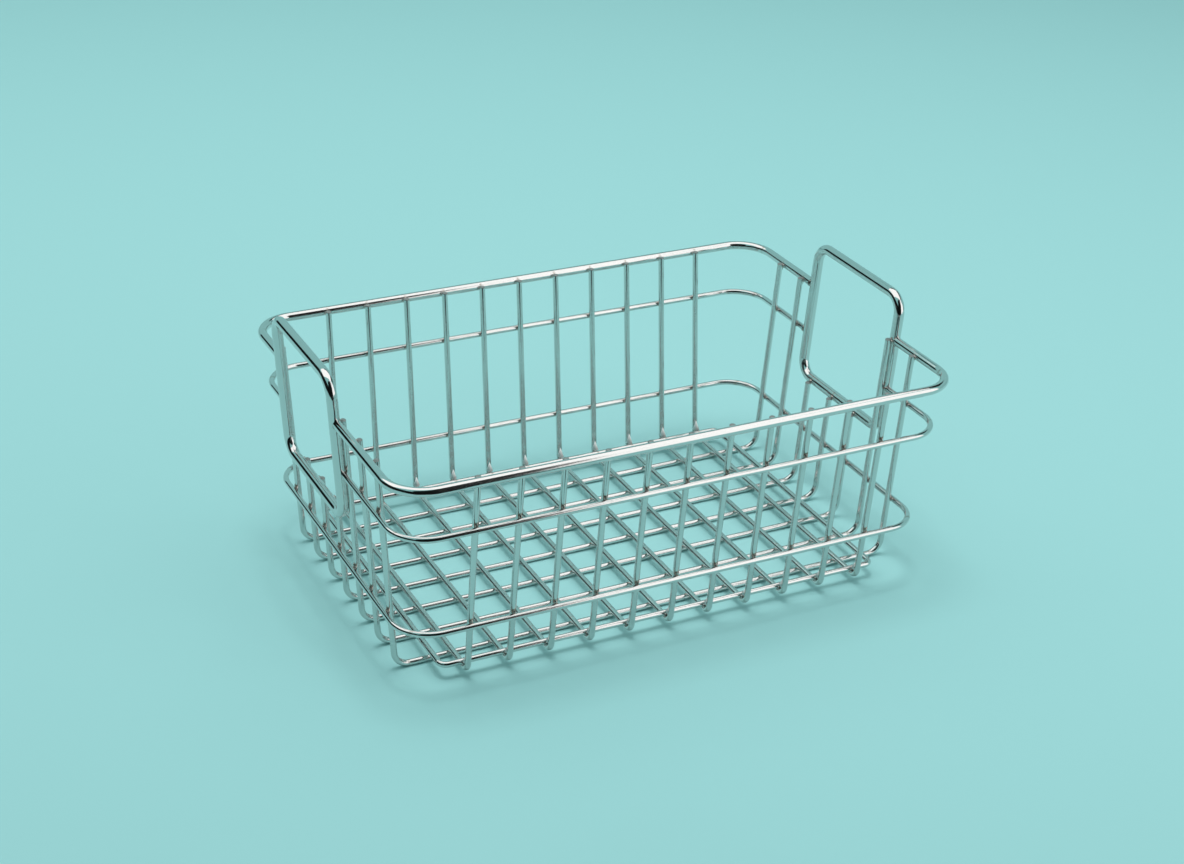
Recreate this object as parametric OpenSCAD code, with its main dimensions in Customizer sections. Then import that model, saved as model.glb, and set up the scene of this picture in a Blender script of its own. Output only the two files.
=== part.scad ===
// Welded wire basket with leaning walls and two fixed wire handles.
// The origin is on the ground under the middle of the floor.
// X runs along the length to the right, Y to the back, and Z up.
// Every wire is bent from one straight length and spot-welded where it crosses the others.

/* [Basket] */
// Length outside the rim
rim_length = 388; // [350:1:430]
// Width outside the rim
rim_width = 267; // [240:1:300]
// Height of the rim's centre line
rim_height = 146; // [136:1:160]
// Height of the middle hoop's centre line
middle_hoop_height = 111.5; // [100:0.5:124]
// Height of the lower hoop's centre line
lower_hoop_height = 41.5; // [30:0.5:60]
// Lean of the long side walls, in degrees from upright
side_lean = 5.8; // [2:0.1:10]
// Lean of the short end walls, in degrees from upright
end_lean = 3.9; // [2:0.1:10]

/* [Wires] */
// Diameter of the body wires, the hoops and the floor frame
body_wire = 4; // [3:0.1:4.8]
// Diameter of the rim
rim_wire = 6; // [5:0.1:7]
// Diameter of the handles
handle_wire = 7; // [6:0.1:9]
// Spacing of the wires that run across the basket
cross_pitch = 28; // [22:0.5:40]
// Spacing of the wires that run along the basket
long_pitch = 28; // [24:0.5:40]
// Least room between the outermost wires and the foot of a wall
corner_room = 20; // [12:1:30]
// How deep a wire is pressed into each wire that it crosses
weld_depth = 0.3; // [0.1:0.05:0.4]
// How deep a handle leg is pressed into the wire that it lies along
seam_depth = 0.1; // [0.05:0.01:0.15]
// How far the wire ends stand above the rim's centre line
tip_rise = 1.5; // [0:0.1:2.5]
// Chamfer on the wire ends
tip_chamfer = 0.7; // [0.3:0.1:1.2]

/* [Bends] */
// How much thinner the wire is in a bend, where it has been stretched
bend_thinning = 0.02; // [0.01:0.01:0.1]
// Bend radius of the cross wires at the floor, to the wire's centre line
cross_bend = 6; // [5:0.5:9]
// Bend radius of the long wires at the floor, to the wire's centre line
long_bend = 10; // [6:0.5:14]
// Corner radius of the rim and the hoops, to the wire's centre line
ring_bend = 24; // [12:1:30]
// Corner radius of the floor frame, to the wire's centre line
frame_bend = 5; // [4:0.5:12]
// Distance from the last cross wire to the end of the floor frame
frame_overhang = 15; // [8:0.5:20]

/* [Handles] */
// Width of a handle between the centre lines of its legs
handle_width = 101; // [85:1:115]
// Height of the top bar above the rim, between centre lines
handle_rise = 29; // [20:0.5:40]
// Depth of the bottom bar below the rim, between centre lines
handle_drop = 67; // [60:0.5:75]
// Corner radius of a handle, to the wire's centre line
handle_bend = 12; // [8:0.5:18]
// How many long wires further back the left handle stands than the right one
handle_stagger = 1; // [0:1:1]

/* [Hidden] */
$fn = 32;
steel = [0.77, 0.79, 0.79];

// Heights of the floor layers: the long wires lie on the ground, the cross wires
// lie over them, and the floor frame lies on the cross wires.
layer_step = body_wire - weld_depth;
long_floor_z = body_wire / 2;
cross_floor_z = long_floor_z + layer_step;
frame_z = cross_floor_z + layer_step;

// How far a wire of a given size, laid against the outside of a leaning wall,
// has its centre line from the centre line of the wall's wires.
function lay_off(wire, lean, depth) = ((wire + body_wire) / 2 - depth) / cos(lean);

// Half length and half width between the centre lines of the wall wires at a height
function wall_x(z) = rim_length / 2 - rim_wire / 2 - lay_off(rim_wire, end_lean, weld_depth)
    - (rim_height - z) * tan(end_lean);
function wall_y(z) = rim_width / 2 - rim_wire / 2 - lay_off(rim_wire, side_lean, weld_depth)
    - (rim_height - z) * tan(side_lean);

// Half length and half width of a hoop laid round the walls at a height
function ring_x(z, wire) = wall_x(z) + lay_off(wire, end_lean, weld_depth);
function ring_y(z, wire) = wall_y(z) + lay_off(wire, side_lean, weld_depth);

// Half distance between the handles at a height
function handle_x(z) = wall_x(z) + lay_off(handle_wire, end_lean, seam_depth);

// Wires on each side of the middle one, and the places of all of them
cross_half_count = floor((wall_x(0) - corner_room) / cross_pitch);
long_half_count = floor((wall_y(0) - corner_room) / long_pitch);
cross_places = [for (k = [-cross_half_count : cross_half_count]) k * cross_pitch];
long_places = [for (k = [-long_half_count : long_half_count]) k * long_pitch];

// Handle bars and legs
handle_bottom_z = rim_height - handle_drop;
handle_top_z = rim_height + handle_rise;

// Each handle's front leg lies along a long wire. The right handle is as near the middle
// as the wires let it be.
right_leg_y = -round(handle_width / 2 / long_pitch) * long_pitch;
left_leg_y = right_leg_y + handle_stagger * long_pitch;

// Length that a bend takes from each side of its corner
function setback(bend, turn) = bend * tan(turn / 2);

// Rise of the handle's bottom bar towards a leg, this far from the leg's centre line
function corner_rise(gap) = gap >= handle_bend ? 0
    : handle_bend - sqrt(pow(handle_bend, 2) - pow(handle_bend - gap, 2));

// Top of a long wire at one end: under the handle it stops on the bottom bar,
// and elsewhere it reaches past the rim's centre line.
function long_top(y, leg_y) =
    y > leg_y && y < leg_y + handle_width
        ? handle_bottom_z + corner_rise(min(y - leg_y, leg_y + handle_width - y))
        : rim_height + tip_rise;

// Distance from a leg's centre line at which a hoop cut square meets the leg
function leg_reach(z, wire) =
    sqrt(pow(handle_wire / 2, 2) - pow(handle_x(z) - ring_x(z, wire), 2)) - weld_depth;

// Straight stretch of wire from the origin along X, with a chamfer at its far end
module straight_wire(length, wire, tip = 0) {
    rotate([-90, 0, -90]) {
        cylinder(h = length - tip, d = wire);
        if (tip > 0)
            translate([0, 0, length - tip])
                cylinder(h = tip, d1 = wire, d2 = wire - 2 * tip);
    }
}

// Left bend that starts at the origin along X: half a ring, cut square where its turn ends
module wire_bend(wire, bend, turn) {
    reach = bend + wire;
    translate([0, bend])
        intersection() {
            rotate(-90)
                rotate_extrude(angle = 180)
                    translate([bend, 0])
                        circle(d = wire - bend_thinning);
            rotate(turn)
                translate([-reach, -reach, -wire])
                    cube([reach, 2 * reach, 2 * wire]);
        }
}

// Wire that starts at the origin along X: straight lengths with a left bend after each,
// up to the last turn. Each stretch starts where the bend before it ends.
module bent_wire(lengths, turns, wire, bend, tip = 0, k = 0) {
    last = k == len(lengths) - 1;
    straight_wire(lengths[k], wire, last ? tip : 0);
    if (k < len(turns))
        translate([lengths[k], 0]) {
            wire_bend(wire, bend, turns[k]);
            if (!last)
                translate([0, bend])
                    rotate(turns[k])
                        translate([0, -bend])
                            bent_wire(lengths, turns, wire, bend, tip, k + 1);
        }
}

// Half of a wire that runs out from the middle of the floor along X and up a leaning wall.
// foot is where the wall's line meets the floor run, and rise is the wire's height over it.
module wall_wire(foot, rise, lean, bend) {
    turn = 90 - lean;
    trim = setback(bend, turn);
    bent_wire([foot - trim, rise / cos(lean) - trim], [turn], body_wire, bend, tip_chamfer);
}

// Wire that runs across the basket: down the front wall, over the floor and up the back wall
module cross_wire(place) {
    color(steel)
        translate([place, 0, cross_floor_z])
            rotate([90, 0, 90])
                for (side = [0, 1])
                    mirror([side, 0])
                        wall_wire(wall_y(cross_floor_z), rim_height + tip_rise - cross_floor_z,
                            side_lean, cross_bend);
}

// Wire that runs along the basket: down the left wall, under the floor and up the right wall
module long_wire(place) {
    leg_places = [right_leg_y, left_leg_y];
    color(steel)
        translate([0, place, long_floor_z])
            rotate([90, 0, 0])
                for (side = [0, 1])
                    mirror([side, 0])
                        wall_wire(wall_x(long_floor_z),
                            long_top(place, leg_places[side]) - long_floor_z,
                            end_lean, long_bend);
}

// Front half of a hoop that is cut at both handles, from its left end round to its right end
module front_hoop(z, wire) {
    x = ring_x(z, wire);
    y = ring_y(z, wire);
    reach = leg_reach(z, wire);
    left_end = y + left_leg_y - reach - ring_bend;
    right_end = y + right_leg_y - reach - ring_bend;
    color(steel)
        translate([-x, left_leg_y - reach, z])
            rotate(-90)
                bent_wire([left_end, 2 * (x - ring_bend), right_end], [90, 90], wire, ring_bend);
}

// Back half of a hoop that is cut at both handles, from its right end round to its left end
module back_hoop(z, wire) {
    x = ring_x(z, wire);
    y = ring_y(z, wire);
    reach = handle_width + leg_reach(z, wire);
    right_end = y - right_leg_y - reach - ring_bend;
    left_end = y - left_leg_y - reach - ring_bend;
    color(steel)
        translate([x, right_leg_y + reach, z])
            rotate(90)
                bent_wire([right_end, 2 * (x - ring_bend), left_end], [90, 90], wire, ring_bend);
}

// Closed rectangle of wire between two opposite corners, with its corners bent
module wire_loop(low, high, wire, bend) {
    width = high.x - low.x - 2 * bend;
    depth = high.y - low.y - 2 * bend;
    translate([low.x + bend, low.y])
        bent_wire([width, depth, width, depth], [90, 90, 90, 90], wire, bend);
}

// Lower hoop, which passes under both handles
module lower_hoop() {
    x = ring_x(lower_hoop_height, body_wire);
    y = ring_y(lower_hoop_height, body_wire);
    color(steel)
        translate([0, 0, lower_hoop_height])
            wire_loop([-x, -y], [x, y], body_wire, ring_bend);
}

// Floor frame, which lies on the cross wires where their bends begin
module floor_frame() {
    x = cross_half_count * cross_pitch + frame_overhang;
    y = wall_y(cross_floor_z) - setback(cross_bend, 90 - side_lean);
    color(steel)
        translate([0, 0, frame_z])
            wire_loop([-x, -y], [x, y], body_wire, frame_bend);
}

// Handle that lies against the outside of the right end wall, with its front leg at leg_y
module handle(leg_y) {
    low = handle_bottom_z / cos(end_lean);
    high = handle_top_z / cos(end_lean);
    color(steel)
        translate([handle_x(0), 0, 0])
            rotate([0, end_lean, 0])
                rotate([90, 0, 90])
                    wire_loop([leg_y, low], [leg_y + handle_width, high], handle_wire, handle_bend);
}

module left_handle() {
    mirror([1, 0, 0])
        handle(left_leg_y);
}

module right_handle() {
    handle(right_leg_y);
}

CROSS_WIRES = [for (k = [0 : len(cross_places) - 1]) str("cross_wire_", k + 1)];
LONG_WIRES = [for (k = [0 : len(long_places) - 1]) str("long_wire_", k + 1)];

for (k = [0 : len(cross_places) - 1])
    cross_wire(cross_places[k]);
for (k = [0 : len(long_places) - 1])
    long_wire(long_places[k]);
front_hoop(rim_height, rim_wire);  // rim_front
back_hoop(rim_height, rim_wire);  // rim_back
front_hoop(middle_hoop_height, body_wire);  // middle_hoop_front
back_hoop(middle_hoop_height, body_wire);  // middle_hoop_back
lower_hoop();
floor_frame();
left_handle();
right_handle();
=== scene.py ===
from math import cos, pi, radians, sin, sqrt, tan
from random import Random

import bmesh
import bpy
from mathutils import Matrix, Vector


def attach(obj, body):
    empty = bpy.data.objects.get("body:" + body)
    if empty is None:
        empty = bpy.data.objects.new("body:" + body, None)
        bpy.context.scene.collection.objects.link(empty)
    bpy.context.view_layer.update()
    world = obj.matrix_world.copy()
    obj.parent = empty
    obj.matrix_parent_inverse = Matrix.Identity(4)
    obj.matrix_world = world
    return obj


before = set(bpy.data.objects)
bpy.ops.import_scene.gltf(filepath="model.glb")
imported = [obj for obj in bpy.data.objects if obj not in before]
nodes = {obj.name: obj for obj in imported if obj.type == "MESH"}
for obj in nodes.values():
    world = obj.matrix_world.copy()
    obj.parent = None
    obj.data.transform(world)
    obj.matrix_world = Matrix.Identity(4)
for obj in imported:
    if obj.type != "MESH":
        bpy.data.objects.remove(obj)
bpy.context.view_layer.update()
MM = 0.001


# Cross wires
# Eleven 4 mm stainless wires, each bent into a U that runs down the front wall, over the
# floor and up the back wall. They are cut from drawn wire and electropolished after welding,
# so they are bright, with fine drawing lines and a faint brown heat tint at each weld.
WIRE, RIM_WIRE = 4 * MM, 6 * MM
PRESSED = 0.3 * MM
PITCH = 28 * MM
CROSS_PLACES = [k * PITCH for k in range(-5, 6)]
LOWER_HOOP, MIDDLE_HOOP = 41.5 * MM, 111.5 * MM
RIM_LENGTH, RIM_WIDTH, RIM_HEIGHT = 388 * MM, 267 * MM, 146 * MM
END_LEAN, SIDE_LEAN = radians(3.9), radians(5.8)


class Wall:
    """Plane of the wire centre lines in one wall, with its directions."""

    def __init__(self, outward, size, lean):
        self.level = Vector(outward)
        self.lean = lean
        upright = Vector((0, 0, 1))
        self.up = self.level * sin(lean) + upright * cos(lean)
        self.out = self.level * cos(lean) - upright * sin(lean)
        self.along = self.up.cross(self.out)
        lay_off = ((RIM_WIRE + WIRE) / 2 - PRESSED) / cos(lean)
        self.foot = (size - RIM_WIRE) / 2 - lay_off - RIM_HEIGHT * tan(lean)

    def spot(self, place, height, outside=0.0):
        """Point at a place along the wall and a height, this far outside the wires."""
        side = Vector((0, place, 0)) if self.level.x else Vector((place, 0, 0))
        away = self.foot + height * tan(self.lean)
        return self.level * away + side + Vector((0, 0, height)) + self.out * outside

    def frame_at(self, point):
        axes = Matrix((self.along, self.up, self.out)).transposed().to_4x4()
        return Matrix.Translation(point) @ axes


walls = {"front": Wall((0, -1, 0), RIM_WIDTH, SIDE_LEAN),
         "back": Wall((0, 1, 0), RIM_WIDTH, SIDE_LEAN),
         "left": Wall((-1, 0, 0), RIM_LENGTH, END_LEAN),
         "right": Wall((1, 0, 0), RIM_LENGTH, END_LEAN)}


class Finish:
    """Nodes of one material, wired up with short calls."""

    def __init__(self, name):
        self.material = bpy.data.materials.new(name)
        self.material.use_nodes = True
        self.tree = self.material.node_tree
        self.shader = self.tree.nodes["Principled BSDF"]
        self.place = self.add("ShaderNodeTexCoord").outputs["Object"]

    def add(self, kind, inputs=(), **settings):
        node = self.tree.nodes.new(kind)
        for key, value in settings.items():
            setattr(node, key, value)
        for socket, value in dict(inputs).items():
            self.feed(node.inputs[socket], value)
        return node

    def feed(self, socket, value):
        if isinstance(value, bpy.types.NodeSocket):
            self.tree.links.new(value, socket)
        else:
            socket.default_value = value

    def surface(self, socket, value):
        """Sets one socket of the shader."""
        self.feed(self.shader.inputs[socket], value)

    def math(self, operation, a, b=0.0, c=0.0):
        return self.add("ShaderNodeMath", {0: a, 1: b, 2: c}, operation=operation).outputs[0]

    def noise(self, scale, detail, roughness, place=None):
        inputs = {"Vector": place or self.place, "Scale": scale, "Detail": detail,
                  "Roughness": roughness}
        return self.add("ShaderNodeTexNoise", inputs).outputs["Fac"]

    def ramp(self, value, low, high, at_low=0.0, at_high=1.0):
        inputs = {0: value, 1: low, 2: high, 3: at_low, 4: at_high}
        return self.add("ShaderNodeMapRange", inputs, interpolation_type="SMOOTHSTEP").outputs[0]

    def blend(self, factor, first, second):
        """Colour that goes from the first to the second as the factor goes from 0 to 1."""
        node = self.add("ShaderNodeMix", {"Factor": factor}, data_type="RGBA")
        colours = [s for s in node.inputs if s.type == "RGBA"]
        self.feed(colours[0], first)
        self.feed(colours[1], second)
        return [s for s in node.outputs if s.type == "RGBA"][0]

    def relief(self, height, strength, depth):
        """Raises the surface with the height, to this depth in metres."""
        bump = self.add("ShaderNodeBump",
                        {"Height": height, "Strength": strength, "Distance": depth})
        self.surface("Normal", bump.outputs[0])

    def axes(self):
        return self.add("ShaderNodeSeparateXYZ", {0: self.place}).outputs[:3]

    def band(self, value, reach):
        """1 where the value is nought, falling smoothly to 0 at the given reach."""
        return self.ramp(self.math("ABSOLUTE", value), 0.0, reach, 1.0, 0.0)

    def every(self, value, pitch, reach):
        """1 at each whole number of pitches from nought, falling to 0 at the given reach."""
        return self.band(self.math("WRAP", value, pitch / 2, -pitch / 2), reach)

    def most(self, masks):
        total = masks[0]
        for mask in masks[1:]:
            total = self.math("MAXIMUM", total, mask)
        return total


STEEL = (0.67, 0.67, 0.655, 1.0)
CUT_STEEL = (0.33, 0.36, 0.35, 1.0)
STRAW = (0.36, 0.29, 0.22, 1.0)
STRAW_FROM, STRAW_TO, STRAW_DEPTH = 0.25, 0.7, 0.75
UMBER = (0.13, 0.095, 0.075, 1.0)
UMBER_FROM, UMBER_TO, UMBER_DEPTH = 0.55, 1.0, 0.7
FLECKED = 1.2
CLOUDED, LINED, HEATED, SAWN = 0.08, 0.06, 0.2, 0.45
LINE_RELIEF, PEEL_RELIEF, SCALE_RELIEF = 0.6, 0.5, 1.5
RELIEF_STRENGTH, RELIEF_DEPTH = 0.3, 0.03 * MM


def polished_wire(name, across, heat, roughness, cut=None):
    """Electropolished drawn wire. across scales the coordinates so that the drawing lines run
    along the wire, heat gives the mask of the welds and cut that of the dull cut ends."""
    steel = Finish(name)
    steel.surface("Metallic", 1.0)
    stretched = steel.add("ShaderNodeMapping", {"Vector": steel.place, "Scale": across})
    lines = steel.noise(scale=1.0, detail=3.0, roughness=0.6, place=stretched.outputs[0])
    peel = steel.noise(scale=420.0, detail=2.0, roughness=0.5)
    cloud = steel.noise(scale=38.0, detail=4.0, roughness=0.55)
    flecks = steel.noise(scale=950.0, detail=2.0, roughness=0.7)
    # The tint's edge is ragged, and its middle is darker than its rim
    ragged = steel.math("MULTIPLY", heat(steel),
                        steel.math("MULTIPLY_ADD", flecks, FLECKED, 1 - FLECKED / 2))
    straw = steel.ramp(ragged, STRAW_FROM, STRAW_TO, 0.0, STRAW_DEPTH)
    umber = steel.ramp(ragged, UMBER_FROM, UMBER_TO, 0.0, UMBER_DEPTH)
    colour = steel.blend(umber, steel.blend(straw, STEEL, STRAW), UMBER)
    dull = cut(steel) if cut else 0.0
    steel.surface("Base Color", steel.blend(dull, colour, CUT_STEEL))
    # A bright polish, duller in clouds, in the drawing lines, at the welds and on the cuts
    worn = steel.math("MULTIPLY_ADD", cloud, CLOUDED, roughness - CLOUDED / 2)
    lined = steel.math("MULTIPLY_ADD", lines, LINED, steel.math("SUBTRACT", worn, LINED / 2))
    heated = steel.math("MULTIPLY_ADD", ragged, HEATED, lined)
    steel.surface("Roughness", steel.math("MULTIPLY_ADD", dull, SAWN, heated))
    grain = steel.math("MULTIPLY_ADD", lines, LINE_RELIEF,
                       steel.math("MULTIPLY", peel, PEEL_RELIEF))
    scaled = steel.math("MULTIPLY_ADD", steel.math("MULTIPLY", flecks, ragged), SCALE_RELIEF,
                        grain)
    steel.relief(scaled, RELIEF_STRENGTH, RELIEF_DEPTH)
    return steel.material


TINT_RISE = 3.2 * MM
TINT_REACH = 3.0 * MM
SPOT_REACH = 2.6 * MM
SPOT_DEPTH = 0.45
FLOOR_TOP = 12 * MM
FACE_FROM, FACE_TO = 0.6 * MM, 1.6 * MM


def outer_face(steel, across, z, wall, outside=0.0):
    """1 on the outer face of wires in a leaning wall, or that far outside it, and 0 on the
    inner face."""
    line = steel.math("MULTIPLY_ADD", z, tan(wall.lean), wall.foot + outside)
    beyond = steel.math("SUBTRACT", steel.math("ABSOLUTE", across), line)
    return steel.ramp(beyond, FACE_FROM, FACE_TO)


def wall_heat(steel, wall):
    """Welds of a wire that runs up two walls and over the floor: one at each hoop, on the
    outer face, and one at each wire that it crosses on the floor."""
    x, y, z = steel.axes()
    across = x if wall.level.x else y
    marks = [steel.band(steel.math("SUBTRACT", z, hoop + TINT_RISE), TINT_REACH)
             for hoop in (LOWER_HOOP, MIDDLE_HOOP)]
    at_hoops = steel.math("MULTIPLY", steel.most(marks), outer_face(steel, across, z, wall))
    on_floor = steel.math("MULTIPLY", steel.every(across, PITCH, SPOT_REACH),
                          steel.math("LESS_THAN", z, FLOOR_TOP))
    return steel.most([at_hoops, steel.math("MULTIPLY", on_floor, SPOT_DEPTH)])


CUT_AT_RIM = 146.7 * MM


def top_ends(steel):
    """1 on the cut ends that stand at the rim."""
    return steel.math("GREATER_THAN", steel.axes()[2], CUT_AT_RIM)


FINE, SLOW = 2600.0, 24.0
cross_steel = polished_wire("cross_wire_steel", (FINE, SLOW, SLOW),
                            lambda steel: wall_heat(steel, walls["front"]),
                            roughness=0.12, cut=top_ends)
for k in range(1, len(CROSS_PLACES) + 1):
    nodes[f"cross_wire_{k}"].data.materials[0] = cross_steel


# Long wires
# Seven 4 mm stainless wires of the same stock, each a U that runs down the left wall, under
# the cross wires and up the right wall. Those under a handle end on its bottom bar.
LONG_PLACES = [k * PITCH for k in range(-3, 4)]
CUT_AT_BAR = 78.2 * MM
LEFT_BAR_MIDDLE, BAR_REACH = 28 * MM, 42 * MM


def cut_ends(steel):
    """1 on the cut ends: at the rim, and under each handle on its bottom bar."""
    x, y, z = steel.axes()
    middle = steel.math("MULTIPLY", steel.math("LESS_THAN", x, 0.0), LEFT_BAR_MIDDLE)
    along_bar = steel.math("ABSOLUTE", steel.math("SUBTRACT", y, middle))
    under = steel.math("LESS_THAN", along_bar, BAR_REACH)
    at_bar = steel.math("MULTIPLY", under, steel.math("GREATER_THAN", z, CUT_AT_BAR))
    return steel.most([top_ends(steel), at_bar])


long_steel = polished_wire("long_wire_steel", (SLOW, FINE, SLOW),
                           lambda steel: wall_heat(steel, walls["left"]),
                           roughness=0.14, cut=cut_ends)
for k in range(1, len(LONG_PLACES) + 1):
    nodes[f"long_wire_{k}"].data.materials[0] = long_steel


# Floor frame and hoops
# A rectangle of the same 4 mm wire that lies on the cross wires, and two hoops of it round
# the outside of the walls. The middle hoop is in two halves that butt on the handle legs.
END_RUNS = 160 * MM
RING_INNER = 2.04 * MM
RING_DEPTH = 0.5


def ring_heat(steel):
    """Welds of a level ring: one at each wall wire that it crosses, on its inner face."""
    x, y, z = steel.axes()
    at_end = steel.math("GREATER_THAN", steel.math("ABSOLUTE", x), END_RUNS)
    marks = []
    for along, across, wall, run in (
            (x, y, walls["front"], steel.math("SUBTRACT", 1.0, at_end)),
            (y, x, walls["left"], at_end)):
        outer = outer_face(steel, across, z, wall, RING_INNER)
        inner = steel.math("SUBTRACT", 1.0, outer)
        spots = steel.math("MULTIPLY", steel.every(along, PITCH, SPOT_REACH), run)
        marks.append(steel.math("MULTIPLY", spots, inner))
    return steel.math("MULTIPLY", steel.most(marks), RING_DEPTH)


hoop_steel = polished_wire("hoop_steel", (SLOW, SLOW, FINE), ring_heat, roughness=0.11)
for name in ("floor_frame", "lower_hoop", "middle_hoop_front", "middle_hoop_back"):
    nodes[name].data.materials[0] = hoop_steel


# Rim
# Two halves of 6 mm stainless wire laid round the outside of the walls at the top, butted on
# the handle legs. The wall wires end just above its centre line, welded to its inner side.
rim_steel = polished_wire("rim_steel", (SLOW, SLOW, FINE), ring_heat, roughness=0.10)
for name in ("rim_front", "rim_back"):
    nodes[name].data.materials[0] = rim_steel


# Handles
# Two closed loops of 7 mm stainless wire, bent in one plane and welded against the outside
# of the end walls. Each is set off from the middle, the left one to the back.
HANDLE_WIRE = 7 * MM
HANDLE_WIDTH = 101 * MM
HANDLE_BOTTOM = 79 * MM
LEFT_LEG, RIGHT_LEG = -28 * MM, -56 * MM
BAR_TOP = 84 * MM
BAR_INNER = 3.4 * MM


def handle_heat(steel):
    """Welds of the bottom bar: one at each end wall wire that stops on it."""
    x, y, z = steel.axes()
    bar = steel.math("MULTIPLY", steel.every(y, PITCH, SPOT_REACH),
                     steel.math("LESS_THAN", z, BAR_TOP))
    inner = steel.math("SUBTRACT", 1.0, outer_face(steel, x, z, walls["left"], BAR_INNER))
    return steel.math("MULTIPLY", steel.math("MULTIPLY", bar, inner), RING_DEPTH)


handle_steel = polished_wire("handle_steel", (FINE, SLOW, SLOW), handle_heat,
                             roughness=0.09)
for name in ("left_handle", "right_handle"):
    nodes[name].data.materials[0] = handle_steel


# Welds at the walls
# Where a hoop or the rim crosses a wall wire, the resistance weld squeezes out a small upright
# bead of metal and a level one. They are duller and warmer than the wire, with dark scale.
WELD_METAL = (0.56, 0.51, 0.47, 1.0)
WELD_DARK = (0.14, 0.10, 0.08, 1.0)
DARK_FROM, DARK_TO, DARK_DEPTH = 0.5, 0.66, 0.85
WELD_POLISH, WELD_DULLED = 0.12, 0.3
WELD_STRENGTH, WELD_RELIEF = 0.6, 0.15 * MM

weld = Finish("weld_steel")
weld.surface("Metallic", 1.0)
scale = weld.noise(scale=700.0, detail=3.0, roughness=0.6)
patches = weld.ramp(scale, DARK_FROM, DARK_TO, 0.0, DARK_DEPTH)
weld.surface("Base Color", weld.blend(patches, WELD_METAL, WELD_DARK))
weld.surface("Roughness", weld.math("MULTIPLY_ADD", scale, WELD_DULLED, WELD_POLISH))
weld.relief(scale, WELD_STRENGTH, WELD_RELIEF)


def finish_piece(mesh, name, material):
    bmesh.ops.recalc_face_normals(mesh, faces=mesh.faces)
    # The caps of cones have more than four corners and stay flat
    for face in mesh.faces:
        face.smooth = len(face.verts) <= 4
    data = bpy.data.meshes.new(name)
    mesh.to_mesh(data)
    mesh.free()
    data.materials.append(material)
    piece = bpy.data.objects.new(name, data)
    bpy.context.scene.collection.objects.link(piece)
    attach(piece, "root")
    return piece


UNEVEN, LUMPY = 0.15, 0.07
draw = Random(11)


def add_bead(mesh, turn, half_sizes):
    """One uneven bead, slightly larger or smaller than the next."""
    sizes = [half * draw.uniform(1 - UNEVEN, 1 + UNEVEN) for half in half_sizes]
    stretch = Matrix.Diagonal((*sizes, 1.0))
    made = bmesh.ops.create_uvsphere(mesh, u_segments=8, v_segments=6, radius=1.0,
                                     matrix=turn @ stretch)
    middle = turn.translation
    for vert in made["verts"]:
        vert.co = middle + (vert.co - middle) * draw.uniform(1 - LUMPY, 1 + LUMPY)


def reaches_rim(wall, place):
    """A wall wire under a handle stops at the handle's bottom bar."""
    if not wall.level.x:
        return True
    leg = LEFT_LEG if wall.level.x < 0 else RIGHT_LEG
    return not leg < place < leg + HANDLE_WIDTH


BEAD = (1.15 * MM, 3.1 * MM, 0.9 * MM)
BEAD_SHIFT = {WIRE: 1.5 * MM, RIM_WIRE: -1.5 * MM}
LEVEL_BEAD = (2.7 * MM, 1.1 * MM, 0.8 * MM)

for name, height, wire in (("lower_hoop_welds", LOWER_HOOP, WIRE),
                           ("middle_hoop_welds", MIDDLE_HOOP, WIRE),
                           ("rim_welds", RIM_HEIGHT, RIM_WIRE)):
    mesh = bmesh.new()
    for wall in walls.values():
        for place in LONG_PLACES if wall.level.x else CROSS_PLACES:
            if height < HANDLE_BOTTOM or reaches_rim(wall, place):
                touch = wall.spot(place, height, (WIRE - PRESSED) / 2)
                add_bead(mesh, wall.frame_at(touch + wall.up * BEAD_SHIFT[wire]), BEAD)
                add_bead(mesh, wall.frame_at(touch), LEVEL_BEAD)
    finish_piece(mesh, name, weld.material)


# Welds at the handles
# The hoop halves end on the handle legs in a collar of weld metal, and the end wall wires
# that stop under a handle are welded to its bottom bar. One wire is tacked along each leg.
COLLAR_SHARE = 1.08
COLLAR_DEPTH = 1.1 * MM
BAR_BEAD = (1.9 * MM, 1.7 * MM, 1.1 * MM)
TACK = (1.2 * MM, 3.6 * MM, 1.0 * MM)
TACK_HEIGHTS = [92 * MM, 104 * MM, 126 * MM, 139 * MM]

mesh = bmesh.new()
for wall, leg in ((walls["left"], LEFT_LEG), (walls["right"], RIGHT_LEG)):
    for height, wire in ((MIDDLE_HOOP, WIRE), (RIM_HEIGHT, RIM_WIRE)):
        hoop_out = (wire + WIRE) / 2 - PRESSED
        leg_out = (HANDLE_WIRE + WIRE) / 2
        reach = sqrt((HANDLE_WIRE / 2) ** 2 - (leg_out - hoop_out) ** 2)
        for place in (leg - reach, leg + HANDLE_WIDTH + reach):
            collar = (COLLAR_DEPTH, wire / 2 * COLLAR_SHARE, wire / 2 * COLLAR_SHARE)
            add_bead(mesh, wall.frame_at(wall.spot(place, height, hoop_out)), collar)
    for place in LONG_PLACES:
        if not reaches_rim(wall, place):
            touch = wall.spot(place, HANDLE_BOTTOM, WIRE / 2)
            add_bead(mesh, wall.frame_at(touch), BAR_BEAD)
    for height in TACK_HEIGHTS:
        add_bead(mesh, wall.frame_at(wall.spot(leg, height, WIRE / 2)), TACK)
finish_piece(mesh, "handle_welds", weld.material)


# Welds on the floor
# Each cross wire is spot-welded to each long wire under it, and the floor frame to each
# cross wire, with a flat bead that shows in the corners of the crossing.
FLOOR_BEAD = (2.0 * MM, 2.0 * MM, 0.7 * MM)
LAYER = WIRE - PRESSED
FRAME_SIDE = 106.1 * MM

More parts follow.
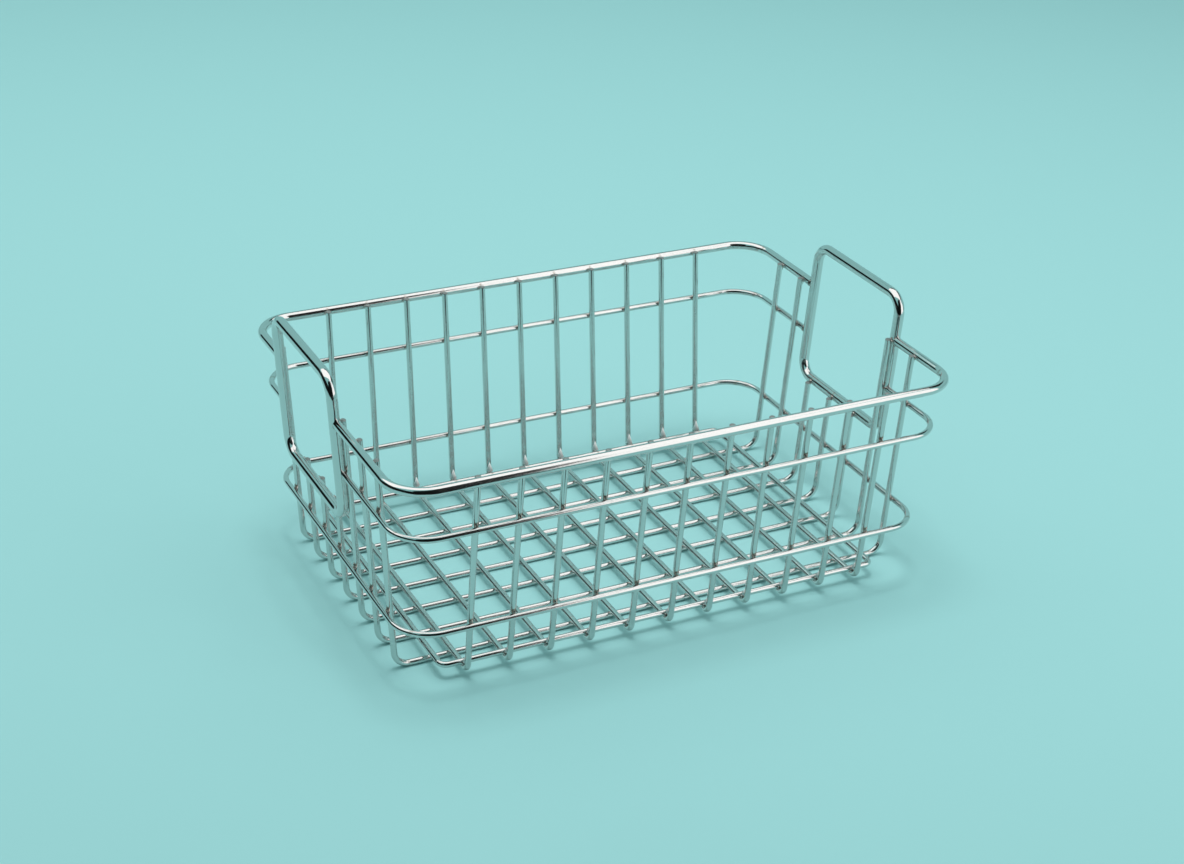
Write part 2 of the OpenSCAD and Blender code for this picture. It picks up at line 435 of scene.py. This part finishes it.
mesh = bmesh.new()
for x in CROSS_PLACES:
    for y in LONG_PLACES:
        height = WIRE / 2 + LAYER / 2
        add_bead(mesh, Matrix.Translation((x, y, height)), FLOOR_BEAD)
    for y in (-FRAME_SIDE, FRAME_SIDE):
        height = WIRE / 2 + LAYER * 1.5
        add_bead(mesh, Matrix.Translation((x, y, height)), FLOOR_BEAD)
finish_piece(mesh, "floor_welds", weld.material)


# Welds at the feet
# The floor frame lies in the bends of the cross wires. There the weld runs up the wire's
# inner face in a sloping fillet that tapers to a point. Its near-white matt colour is a
# painted highlight that stands in for the overhead light mirrored in the bend.
FILLET_FOOT, FILLET_TIP = 3.4 * MM, 0.4 * MM
FILLET_LENGTH = 6.2 * MM
FILLET_HEIGHT = 14.0 * MM
FILLET_INSIDE = -1.8 * MM
FILLET_NARROW = 0.66
FILLET_UNEVEN = 0.1
# Near-white matt colour, not metal: a painted highlight of the light mirrored in the wire's bend
PAINTED_HIGHLIGHT = (0.98, 0.94, 0.93, 1.0)
PALE_DARK = (0.45, 0.42, 0.41, 1.0)
PALE_FROM, PALE_TO, PALE_DEPTH = 0.64, 0.76, 0.6
PALE_POLISH, PALE_DULLED = 0.25, 0.2
PALE_STRENGTH, PALE_RELIEF = 0.3, 0.05 * MM

pale = Finish("painted_highlight_weld")
ripple = pale.noise(scale=900.0, detail=3.0, roughness=0.6)
pits = pale.ramp(ripple, PALE_FROM, PALE_TO, 0.0, PALE_DEPTH)
# Painted highlight: the fillet is coloured near white to stand in for light mirrored in the bend
pale.surface("Base Color", pale.blend(pits, PAINTED_HIGHLIGHT, PALE_DARK))
pale.surface("Roughness", pale.math("MULTIPLY_ADD", ripple, PALE_DULLED, PALE_POLISH))
pale.relief(ripple, PALE_STRENGTH, PALE_RELIEF)

mesh = bmesh.new()
for wall in (walls["front"], walls["back"]):
    axes = Matrix((wall.along, wall.out, wall.up)).transposed().to_4x4()
    for place in CROSS_PLACES:
        middle = Matrix.Translation(wall.spot(place, FILLET_HEIGHT, FILLET_INSIDE))
        length = draw.uniform(1 - FILLET_UNEVEN, 1 + FILLET_UNEVEN)
        narrow = Matrix.Diagonal((FILLET_NARROW, 1.0, length, 1.0))
        bmesh.ops.create_cone(mesh, cap_ends=True, segments=12, radius1=FILLET_FOOT,
                              radius2=FILLET_TIP, depth=FILLET_LENGTH,
                              matrix=middle @ axes @ narrow)
finish_piece(mesh, "foot_welds_painted_highlight", pale.material)


# Wire ends
# The cut ends of the cross wires are tumbled round before they are welded to the rim, so
# each ends in a low dome. Those of the long wires are left flat.
TIP_HEIGHT = 147.5 * MM
TIP_CHAMFER = 0.7 * MM
DOME_RADIUS = 2.02 * MM
DOME_RISE = 1.0 * MM

mesh = bmesh.new()
for wall in (walls["front"], walls["back"]):
    for place in CROSS_PLACES:
        base = wall.spot(place, TIP_HEIGHT) - wall.up * TIP_CHAMFER
        axes = Matrix((wall.out, wall.along, wall.up)).transposed().to_4x4()
        dome = Matrix.Diagonal((DOME_RADIUS, DOME_RADIUS, DOME_RISE, 1.0))
        bmesh.ops.create_uvsphere(mesh, u_segments=16, v_segments=12, radius=1.0,
                                  matrix=Matrix.Translation(base) @ axes @ dome)
finish_piece(mesh, "wire_ends", cross_steel)


# Floor
# A plain sheet of matt blue-green paper under the basket, painted a little paler far behind it
# as painted light that makes up for the lamps' light falling off towards the back.
PAPER = (0.36, 0.68, 0.68, 1.0)
FAR_PAPER = (0.365, 0.70, 0.70, 1.0)
# The way over the paper from the camera to the back
AWAY_X, AWAY_Y = 0.455, 0.89
FADE_START, FADE_END = 0.15, 1.5
PAPER_SIZE = 60.0
PAPER_ROUGHNESS, PAPER_GLOSS = 0.9, 0.2


def flat_sheet(name, width, height, turn, material):
    """Flat stage sheet of a given size."""
    sheet = bmesh.new()
    bmesh.ops.create_grid(sheet, x_segments=1, y_segments=1, size=0.5,
                          matrix=turn @ Matrix.Diagonal((width, height, 1.0, 1.0)))
    data = bpy.data.meshes.new(name)
    sheet.to_mesh(data)
    sheet.free()
    data.materials.append(material)
    piece = bpy.data.objects.new(name, data)
    bpy.context.scene.collection.objects.link(piece)
    return piece


paper = Finish("paper")
x, y = paper.axes()[:2]
away = paper.math("MULTIPLY_ADD", x, AWAY_X, paper.math("MULTIPLY", y, AWAY_Y))
# Painted light: the paper grows paler away from the camera to even out the lamps' fall-off
painted_light_fade = paper.ramp(away, FADE_START, FADE_END)
paper.surface("Base Color", paper.blend(painted_light_fade, PAPER, FAR_PAPER))
paper.surface("Roughness", PAPER_ROUGHNESS)
paper.surface("Specular IOR Level", PAPER_GLOSS)
flat_sheet("paper", PAPER_SIZE, PAPER_SIZE, Matrix.Identity(4), paper.material)


# Dark screens
# Black cloths outside the picture: to the right, in front, to the left, at the back left,
# high behind, and over the paper in front. They put the dark lines in the polished wire, and
# neither light nor shade the paper.
CLOTH = (0.012, 0.012, 0.012, 1.0)
CLOTH_ROUGHNESS, CLOTH_GLOSS = 0.95, 0.1
LEFTWARD, RIGHTWARD, BACKWARD = (-1, 0, 0), (1, 0, 0), (0, 1, 0)
UPWARD, DOWNWARD = (0, 0, 1), (0, 0, -1)
FROM_BACK_LEFT = (1.35, -1.62, 0.0)

cloth = Finish("black_cloth")
cloth.surface("Base Color", CLOTH)
cloth.surface("Roughness", CLOTH_ROUGHNESS)
cloth.surface("Specular IOR Level", CLOTH_GLOSS)


def screen(name, place, facing, width, height, lean=0.0):
    """Cloth of a given size in metres that faces one way, turned in its own plane."""
    turn = Vector(facing).to_track_quat("Z", "Y").to_matrix().to_4x4()
    turn = Matrix.Translation(place) @ turn @ Matrix.Rotation(lean, 4, "Z")
    piece = flat_sheet(name, width, height, turn, cloth.material)
    piece.visible_camera = False
    piece.visible_diffuse = False
    piece.visible_shadow = False


screen("right_screen", (0.62, 0.0, 0.65), LEFTWARD, 0.4, 0.4)
screen("front_screen", (-0.565, -1.5, 1.4), BACKWARD, 2.09, 2.8)
screen("left_screen", (-1.6, -0.1, 0.65), RIGHTWARD, 2.8, 1.3)
screen("back_left_screen", (-1.35, 1.62, 0.52), FROM_BACK_LEFT, 0.8, 1.06)
screen("high_screen", (1.15, 1.38, 1.9), DOWNWARD, 1.6, 0.6, radians(27))
screen("leaning_screen", (0.32, -1.46, 1.53), BACKWARD, 0.85, 3.0, radians(15))
screen("low_screen", (-0.75, -1.0, 0.004), UPWARD, 1.75, 1.1)
screen("turned_low_screen", (-0.06, -0.93, 0.006), UPWARD, 0.5, 1.25, radians(24))


# Light
# A pale room with a broad soft light overhead and one in front. A smaller one far above draws
# the shadows of the wires on the paper, and the wires don't mirror it.
AMBIENT = 0.17
AMBIENT_TINT = (0.50, 1.0, 1.0, 1.0)
SEEN_ROOM = (0.30, 0.60, 0.60, 1.0)

world = bpy.data.worlds.new("room")
bpy.context.scene.world = world
world.use_nodes = True
room = world.node_tree
rays = room.nodes.new("ShaderNodeLightPath")
seen = rays.outputs["Is Camera Ray"]
for kind in ("Is Glossy Ray", "Is Transmission Ray"):
    either = room.nodes.new("ShaderNodeMath")
    either.operation = "MAXIMUM"
    room.links.new(seen, either.inputs[0])
    room.links.new(rays.outputs[kind], either.inputs[1])
    seen = either.outputs[0]
ambient = room.nodes["Background"]
ambient.inputs["Color"].default_value = AMBIENT_TINT
ambient.inputs["Strength"].default_value = AMBIENT
wall_paint = room.nodes.new("ShaderNodeBackground")
wall_paint.inputs["Color"].default_value = SEEN_ROOM
painted = room.nodes.new("ShaderNodeMixShader")
room.links.new(seen, painted.inputs[0])
room.links.new(ambient.outputs[0], painted.inputs[1])
room.links.new(wall_paint.outputs[0], painted.inputs[2])
room.links.new(painted.outputs[0], room.nodes["World Output"].inputs["Surface"])

BACK_GAP = 0.03
BOX_LEVEL = 1.4
SHADOW_LEVEL = 9.2


def softbox(name, place, facing, width, height, level, turned=0.0):
    """Area lamp that shows the given level in a mirror and lights from its whole face. Its
    cloth back closes the view through the lamp in a mirror."""
    lamp = bpy.data.lights.new(name, "AREA")
    lamp.shape = "RECTANGLE"
    lamp.size = width
    lamp.size_y = height
    lamp.energy = level * pi * width * height
    holder = bpy.data.objects.new(name, lamp)
    holder.location = place
    turn = Vector(facing).to_track_quat("-Z", "Y").to_matrix()
    holder.rotation_euler = (turn @ Matrix.Rotation(turned, 3, "Z")).to_euler()
    holder.visible_camera = False
    bpy.context.scene.collection.objects.link(holder)
    back = Vector(place) - Vector(facing) * BACK_GAP
    screen(name + "_back", back, facing, width, height, -turned)
    return holder


softbox("overhead_softbox", (-0.21, 0.57, 1.9), DOWNWARD, 3.9, 2.01, BOX_LEVEL, radians(-27))
softbox("front_softbox", (1.535, -1.5, 1.31), BACKWARD, 2.11, 2.6, BOX_LEVEL)
shadow_lamp = softbox("shadow_lamp", (-0.2, 0.3, 4.0), DOWNWARD, 1.2, 1.2, SHADOW_LEVEL)
shadow_lamp.visible_glossy = False


# Camera
# Set where the picture was taken from: raised, over the front left corner, with the basket
# in the middle of the frame.
PICTURE_WIDTH = 1184
FOCAL_PIXELS = 2097.56
SENSOR_WIDTH = 36.0
AZIMUTH, ELEVATION, ROLL = -0.47247, 0.47347, 0.033787
DISTANCE = 1.38572
TARGET = Vector((-0.003306, 0.0, 0.089052))

lens = bpy.data.cameras.new("camera")
lens.sensor_width = SENSOR_WIDTH
lens.lens = FOCAL_PIXELS / PICTURE_WIDTH * SENSOR_WIDTH
lens.clip_end = PAPER_SIZE * 2
camera = bpy.data.objects.new("camera", lens)
turn = (Matrix.Rotation(AZIMUTH, 4, "Z") @ Matrix.Rotation(pi / 2 - ELEVATION, 4, "X")
        @ Matrix.Rotation(ROLL, 4, "Z"))
camera.matrix_world = Matrix.Translation(TARGET) @ turn @ Matrix.Translation((0, 0, DISTANCE))
bpy.context.scene.collection.objects.link(camera)
bpy.context.scene.camera = camera
bpy.context.scene.view_settings.view_transform = "Standard"
